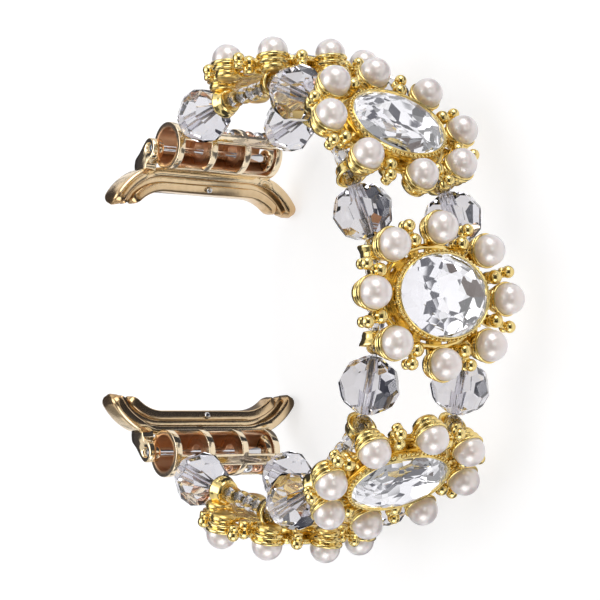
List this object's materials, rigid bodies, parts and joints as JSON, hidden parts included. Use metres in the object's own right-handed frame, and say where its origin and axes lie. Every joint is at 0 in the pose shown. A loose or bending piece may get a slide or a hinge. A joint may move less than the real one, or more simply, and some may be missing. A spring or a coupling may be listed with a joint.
{
  "type": "bead watch band",
  "caption": "Elastic bead watch band of oval stone and pearl medallions with cut crystal beads, and a hinged slide-in adapter at each end.",
  "frame": {"origin": "middle of the bounding box in X and Y, on the plane of its lowest points", "axes": "+Z runs across the band, from one edge to the other; +X points from the watch to the middle medallion; +Y points from the bottom adapter to the top adapter"},
  "size_m": [0.0602, 0.0724, 0.034],
  "materials": {
    "gold": "polished gold plate",
    "champagne_gold": "polished champagne gold plate",
    "stone": "foiled clear crystal",
    "crystal": "clear cut crystal",
    "pearl": "pearl lustre",
    "steel": "polished",
    "cord": "translucent"
  },
  "bodies": {
    "medallion_3": {"medallion_3_frame": "gold", "medallion_3_stone": "stone", "medallion_3_pearls": "pearl", "medallion_3_seed_beads": "crystal"},
    "top_link_1": {"top_gap_1_near_spacers": "crystal", "top_gap_1_cord": "cord"},
    "top_gap_1_crystal_left": {"top_gap_1_crystal_left": "crystal"},
    "top_gap_1_crystal_right": {"top_gap_1_crystal_right": "crystal"},
    "top_far_beads_1": {"top_gap_1_far_spacers": "crystal"},
    "medallion_2": {"medallion_2_frame": "gold", "medallion_2_stone": "stone", "medallion_2_pearls": "pearl", "medallion_2_seed_beads": "crystal"},
    "top_link_2": {"top_gap_2_near_spacers": "crystal", "top_gap_2_cord": "cord"},
    "top_gap_2_crystal_left": {"top_gap_2_crystal_left": "crystal"},
    "top_gap_2_crystal_right": {"top_gap_2_crystal_right": "crystal"},
    "top_far_beads_2": {"top_gap_2_far_spacers": "crystal"},
    "medallion_1": {"medallion_1_frame": "gold", "medallion_1_stone": "stone", "medallion_1_pearls": "pearl", "medallion_1_seed_beads": "crystal"},
    "top_link_3": {"top_gap_3_near_spacers": "crystal", "top_gap_3_cord": "cord"},
    "top_gap_3_crystal_left": {"top_gap_3_crystal_left": "crystal"},
    "top_gap_3_crystal_right": {"top_gap_3_crystal_right": "crystal"},
    "top_far_beads_3": {"top_end_beads": "steel"},
    "top_connector": {"top_connector": "champagne_gold"},
    "top_adapter": {"top_adapter": "champagne_gold", "top_hinge_pin": "steel"},
    "top_lock_button": {"top_lock_button": "steel"},
    "bottom_link_1": {"bottom_gap_1_near_spacers": "crystal", "bottom_gap_1_cord": "cord"},
    "bottom_gap_1_crystal_left": {"bottom_gap_1_crystal_left": "crystal"},
    "bottom_gap_1_crystal_right": {"bottom_gap_1_crystal_right": "crystal"},
    "bottom_far_beads_1": {"bottom_gap_1_far_spacers": "crystal"},
    "medallion_4": {"medallion_4_frame": "gold", "medallion_4_stone": "stone", "medallion_4_pearls": "pearl", "medallion_4_seed_beads": "crystal"},
    "bottom_link_2": {"bottom_gap_2_near_spacers": "crystal", "bottom_gap_2_cord": "cord"},
    "bottom_gap_2_crystal_left": {"bottom_gap_2_crystal_left": "crystal"},
    "bottom_gap_2_crystal_right": {"bottom_gap_2_crystal_right": "crystal"},
    "bottom_far_beads_2": {"bottom_gap_2_far_spacers": "crystal"},
    "medallion_5": {"medallion_5_frame": "gold", "medallion_5_stone": "stone", "medallion_5_pearls": "pearl", "medallion_5_seed_beads": "crystal"},
    "bottom_link_3": {"bottom_gap_3_near_spacers": "crystal", "bottom_gap_3_cord": "cord"},
    "bottom_gap_3_crystal_left": {"bottom_gap_3_crystal_left": "crystal"},
    "bottom_gap_3_crystal_right": {"bottom_gap_3_crystal_right": "crystal"},
    "bottom_far_beads_3": {"bottom_end_beads": "steel"},
    "bottom_connector": {"bottom_connector": "champagne_gold"},
    "bottom_adapter": {"bottom_adapter": "champagne_gold", "bottom_hinge_pin": "steel"},
    "bottom_lock_button": {"bottom_lock_button": "steel"}
  },
  "joints": [
    {"name": "top_link_1_bend", "type": "hinge", "parent": "medallion_3", "child": "top_link_1", "pos_m": [0.02345, 0.00509, 0.01702], "axis": [0, 0, -1], "range_deg": [-4, 24]},
    {"name": "top_gap_1_crystal_left_spin", "type": "hinge", "parent": "top_link_1", "child": "top_gap_1_crystal_left", "pos_m": [0.02138, 0.00976, 0.02472], "axis": [-0.4067, 0.9135, 0], "continuous": true},
    {"name": "top_gap_1_crystal_right_spin", "type": "hinge", "parent": "top_link_1", "child": "top_gap_1_crystal_right", "pos_m": [0.02138, 0.00976, 0.00932], "axis": [-0.4067, 0.9135, 0], "continuous": true},
    {"name": "top_gap_1_stretch", "type": "slide", "parent": "top_link_1", "child": "top_far_beads_1", "axis": [-0.4067, 0.9135, 0], "range_m": [0, 0.0025], "stiffness_N_per_m": 300, "springref_m": -0.002, "deforming": ["top_gap_1_cord"]},
    {"name": "medallion_2_bend", "type": "hinge", "parent": "top_far_beads_1", "child": "medallion_2", "pos_m": [0.0193, 0.01443, 0.01702], "axis": [0, 0, -1], "range_deg": [-4, 8]},
    {"name": "top_link_2_bend", "type": "hinge", "parent": "medallion_2", "child": "top_link_2", "pos_m": [0.01252, 0.02528, 0.01702], "axis": [0, 0, -1], "range_deg": [-4, 34]},
    {"name": "top_gap_2_crystal_left_spin", "type": "hinge", "parent": "top_link_2", "child": "top_gap_2_crystal_left", "pos_m": [0.00785, 0.02736, 0.02472], "axis": [-0.9135, 0.4067, 0], "continuous": true},
    {"name": "top_gap_2_crystal_right_spin", "type": "hinge", "parent": "top_link_2", "child": "top_gap_2_crystal_right", "pos_m": [0.00785, 0.02736, 0.00932], "axis": [-0.9135, 0.4067, 0], "continuous": true},
    {"name": "top_gap_2_stretch", "type": "slide", "parent": "top_link_2", "child": "top_far_beads_2", "axis": [-0.9135, 0.4067, 0], "range_m": [0, 0.0025], "stiffness_N_per_m": 300, "springref_m": -0.002, "deforming": ["top_gap_2_cord"]},
    {"name": "medallion_1_bend", "type": "hinge", "parent": "top_far_beads_2", "child": "medallion_1", "pos_m": [0.00318, 0.02944, 0.01702], "axis": [0, 0, -1], "range_deg": [-4, 27]},
    {"name": "top_link_3_bend", "type": "hinge", "parent": "medallion_1", "child": "top_link_3", "pos_m": [-0.0096, 0.02877, 0.01702], "axis": [0, 0, -1], "range_deg": [-4, 8]},
    {"name": "top_gap_3_crystal_left_spin", "type": "hinge", "parent": "top_link_3", "child": "top_gap_3_crystal_left", "pos_m": [-0.01462, 0.0278, 0.02472], "axis": [-0.9816, -0.1908, 0], "continuous": true},
    {"name": "top_gap_3_crystal_right_spin", "type": "hinge", "parent": "top_link_3", "child": "top_gap_3_crystal_right", "pos_m": [-0.01462, 0.0278, 0.00932], "axis": [-0.9816, -0.1908, 0], "continuous": true},
    {"name": "top_gap_3_stretch", "type": "slide", "parent": "top_link_3", "child": "top_far_beads_3", "axis": [-0.9816, -0.1908, 0], "range_m": [0, 0.0025], "stiffness_N_per_m": 300, "springref_m": -0.002, "deforming": ["top_gap_3_cord"]},
    {"name": "top_connector_bend", "type": "hinge", "parent": "top_far_beads_3", "child": "top_connector", "pos_m": [-0.02085, 0.02658, 0.01702], "axis": [0, 0, -1], "range_deg": [-4, 28]},
    {"name": "top_adapter_hinge", "type": "hinge", "parent": "top_connector", "child": "top_adapter", "pos_m": [-0.02388, 0.02413, 0.01702], "axis": [0, 0, -1], "range_deg": [-2, 110]},
    {"name": "top_lock_button_press", "type": "slide", "parent": "top_adapter", "child": "top_lock_button", "axis": [-0.9992, 0.0401, 0], "range_m": [0, 0.0006], "stiffness_N_per_m": 800, "springref_m": -0.001},
    {"name": "bottom_link_1_bend", "type": "hinge", "parent": "medallion_3", "child": "bottom_link_1", "pos_m": [0.02345, -0.00771, 0.01702], "axis": [0, 0, 1], "range_deg": [-4, 17]},
    {"name": "bottom_gap_1_crystal_left_spin", "type": "hinge", "parent": "bottom_link_1", "child": "bottom_gap_1_crystal_left", "pos_m": [0.02196, -0.01259, 0.02472], "axis": [-0.2924, -0.9563, 0], "continuous": true},
    {"name": "bottom_gap_1_crystal_right_spin", "type": "hinge", "parent": "bottom_link_1", "child": "bottom_gap_1_crystal_right", "pos_m": [0.02196, -0.01259, 0.00932], "axis": [-0.2924, -0.9563, 0], "continuous": true},
    {"name": "bottom_gap_1_stretch", "type": "slide", "parent": "bottom_link_1", "child": "bottom_far_beads_1", "axis": [-0.2924, -0.9563, 0], "range_m": [0, 0.0025], "stiffness_N_per_m": 300, "springref_m": -0.002, "deforming": ["bottom_gap_1_cord"]},
    {"name": "medallion_4_bend", "type": "hinge", "parent": "bottom_far_beads_1", "child": "medallion_4", "pos_m": [0.02047, -0.01748, 0.01702], "axis": [0, 0, 1], "range_deg": [-4, 34]},
    {"name": "bottom_link_2_bend", "type": "hinge", "parent": "medallion_4", "child": "bottom_link_2", "pos_m": [0.01052, -0.02553, 0.01702], "axis": [0, 0, 1], "range_deg": [-4, 19]},
    {"name": "bottom_gap_2_crystal_left_spin", "type": "hinge", "parent": "bottom_link_2", "child": "bottom_gap_2_crystal_left", "pos_m": [0.00572, -0.02728, 0.02472], "axis": [-0.9397, -0.342, 0], "continuous": true},
    {"name": "bottom_gap_2_crystal_right_spin", "type": "hinge", "parent": "bottom_link_2", "child": "bottom_gap_2_crystal_right", "pos_m": [0.00572, -0.02728, 0.00932], "axis": [-0.9397, -0.342, 0], "continuous": true},
    {"name": "bottom_gap_2_stretch", "type": "slide", "parent": "bottom_link_2", "child": "bottom_far_beads_2", "axis": [-0.9397, -0.342, 0], "range_m": [0, 0.0025], "stiffness_N_per_m": 300, "springref_m": -0.002, "deforming": ["bottom_gap_2_cord"]},
    {"name": "medallion_5_bend", "type": "hinge", "parent": "bottom_far_beads_2", "child": "medallion_5", "pos_m": [0.00092, -0.02903, 0.01702], "axis": [0, 0, 1], "range_deg": [-4, 34]},
    {"name": "bottom_link_3_bend", "type": "hinge", "parent": "medallion_5", "child": "bottom_link_3", "pos_m": [-0.0115, -0.02593, 0.01702], "axis": [0, 0, 1], "range_deg": [-4, 2]},
    {"name": "bottom_gap_3_crystal_left_spin", "type": "hinge", "parent": "bottom_link_3", "child": "bottom_gap_3_crystal_left", "pos_m": [-0.01641, -0.02452, 0.02472], "axis": [-0.9613, 0.2756, 0], "continuous": true},
    {"name": "bottom_gap_3_crystal_right_spin", "type": "hinge", "parent": "bottom_link_3", "child": "bottom_gap_3_crystal_right", "pos_m": [-0.01641, -0.02452, 0.00932], "axis": [-0.9613, 0.2756, 0], "continuous": true},
    {"name": "bottom_gap_3_stretch", "type": "slide", "parent": "bottom_link_3", "child": "bottom_far_beads_3", "axis": [-0.9613, 0.2756, 0], "range_m": [0, 0.0025], "stiffness_N_per_m": 300, "springref_m": -0.002, "deforming": ["bottom_gap_3_cord"]},
    {"name": "bottom_connector_bend", "type": "hinge", "parent": "bottom_far_beads_3", "child": "bottom_connector", "pos_m": [-0.02252, -0.02277, 0.01702], "axis": [0, 0, 1], "range_deg": [-4, 20]},
    {"name": "bottom_adapter_hinge", "type": "hinge", "parent": "bottom_connector", "child": "bottom_adapter", "pos_m": [-0.02567, -0.02048, 0.01702], "axis": [0, 0, 1], "range_deg": [-2, 110]},
    {"name": "bottom_lock_button_press", "type": "slide", "parent": "bottom_adapter", "child": "bottom_lock_button", "axis": [-0.9992, 0.0401, 0], "range_m": [0, 0.0006], "stiffness_N_per_m": 800, "springref_m": -0.001}
  ]
}
